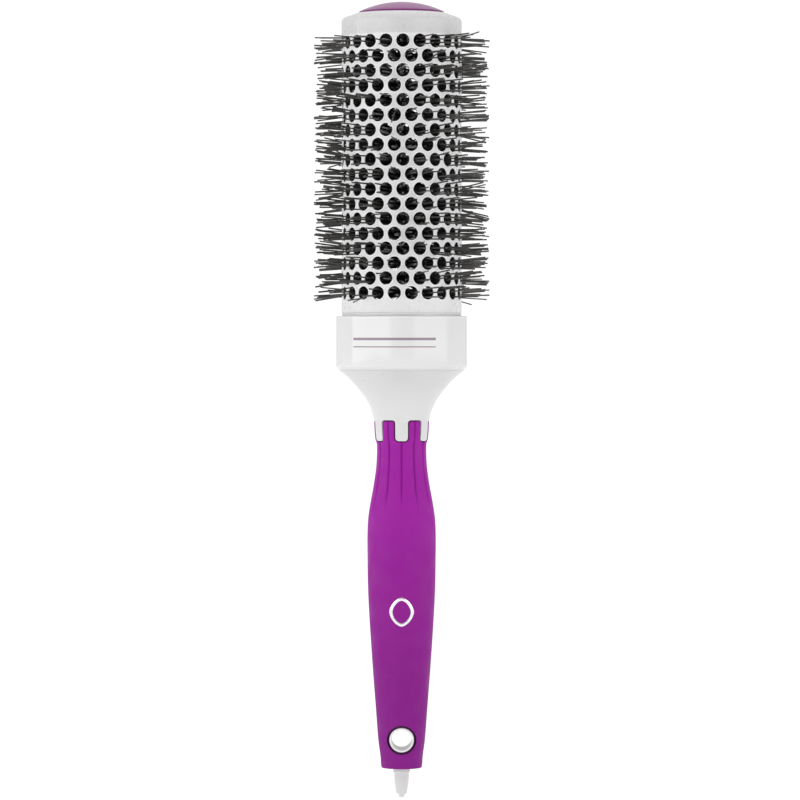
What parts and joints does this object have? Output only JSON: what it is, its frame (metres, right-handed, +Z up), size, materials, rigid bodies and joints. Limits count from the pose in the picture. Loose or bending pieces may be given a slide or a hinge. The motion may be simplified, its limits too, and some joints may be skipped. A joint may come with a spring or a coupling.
{
  "type": "round barrel brush",
  "caption": "Round hair brush: perforated ceramic barrel with radial nylon bristles, white cap and collar, flared neck, soft grip with hanging hole, and a tail tip.",
  "frame": {"origin": "end of the tail tip, on the brush's axis, under the centre of its box", "axes": "+Z up the brush's axis from the tail tip to the cap, -Y the front, where the hanging hole opens"},
  "size_m": [0.0628, 0.0628, 0.2865],
  "materials": {
    "ceramic_barrel": "white ceramic coating, satin, on a perforated aluminium tube",
    "bristles": "black nylon filament, dull sheen",
    "stem_wire": "bright twisted wire",
    "white_cap": "white moulded plastic, soft gloss",
    "purple_insert": "mauve moulded plastic, soft gloss",
    "white_collar": "white moulded plastic, high gloss",
    "white_core": "white moulded plastic, satin",
    "purple_grip": "purple soft-touch coating, matte",
    "white_liner": "white moulded plastic, satin",
    "grey_tip": "light grey moulded plastic, satin"
  },
  "bodies": {
    "root": {"barrel": "ceramic_barrel", "bristle_row_01": "bristles", "bristle_row_02": "bristles", "bristle_row_03": "bristles", "bristle_row_04": "bristles", "bristle_row_05": "bristles", "bristle_row_06": "bristles", "bristle_row_07": "bristles", "bristle_row_08": "bristles", "bristle_row_09": "bristles", "bristle_row_10": "bristles", "bristle_row_11": "bristles", "bristle_row_12": "bristles", "bristle_row_13": "bristles", "bristle_row_14": "bristles", "bristle_row_15": "bristles", "bristle_row_16": "bristles", "bristle_row_17": "bristles", "bristle_row_18": "bristles", "stem_wire_a": "stem_wire", "stem_wire_b": "stem_wire", "end_cap": "white_cap", "cap_insert": "purple_insert", "collar": "white_collar", "handle_core": "white_core", "grip_sleeve": "purple_grip", "hang_hole_liner": "white_liner", "tail_tip": "grey_tip"}
  },
  "joints": []
}
